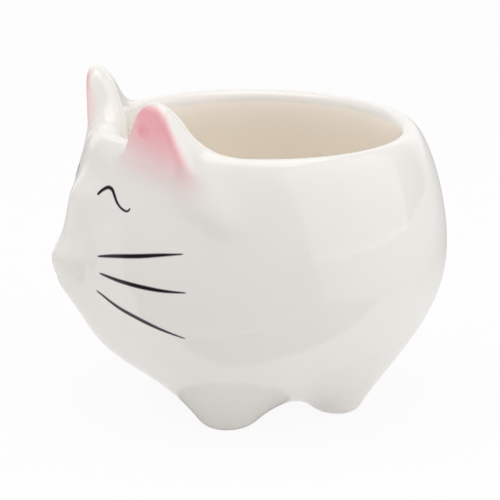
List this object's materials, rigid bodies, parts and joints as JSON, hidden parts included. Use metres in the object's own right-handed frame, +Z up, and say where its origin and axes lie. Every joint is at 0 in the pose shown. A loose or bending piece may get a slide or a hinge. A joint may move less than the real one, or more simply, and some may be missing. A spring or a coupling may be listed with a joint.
{
  "type": "animal shaped planter",
  "caption": "Glazed ceramic bowl planter in the shape of a cat, with ears on the lip, a muzzle, stub feet, painted eyes and whiskers and a lift-out drain plug.",
  "frame": {"origin": "on the ground, under the middle of the part's box", "axes": "+Z is up, the cat faces -Y and its left side is +X"},
  "size_m": [0.126, 0.1344, 0.111],
  "materials": {
    "white_glaze": "gloss",
    "pink_enamel": "gloss",
    "black_enamel": "gloss",
    "silicone": "matte"
  },
  "bodies": {
    "planter": {"pot_shell": "white_glaze", "muzzle": "white_glaze", "nose": "white_glaze", "ear_left": "white_glaze", "ear_right": "white_glaze", "foot_front_left": "white_glaze", "foot_front_right": "white_glaze", "foot_rear_left": "white_glaze", "foot_rear_right": "white_glaze", "ear_blush_left": "pink_enamel", "ear_blush_right": "pink_enamel", "eye_left": "black_enamel", "eye_right": "black_enamel", "whisker_left_upper": "black_enamel", "whisker_left_middle": "black_enamel", "whisker_left_lower": "black_enamel", "whisker_right_upper": "black_enamel", "whisker_right_middle": "black_enamel", "whisker_right_lower": "black_enamel"},
    "plug": {"drain_plug": "silicone"}
  },
  "joints": [
    {"name": "plug_lift", "type": "slide", "parent": "planter", "child": "plug", "axis": [0, 0, 1], "range_m": [0, 0.105]}
  ]
}
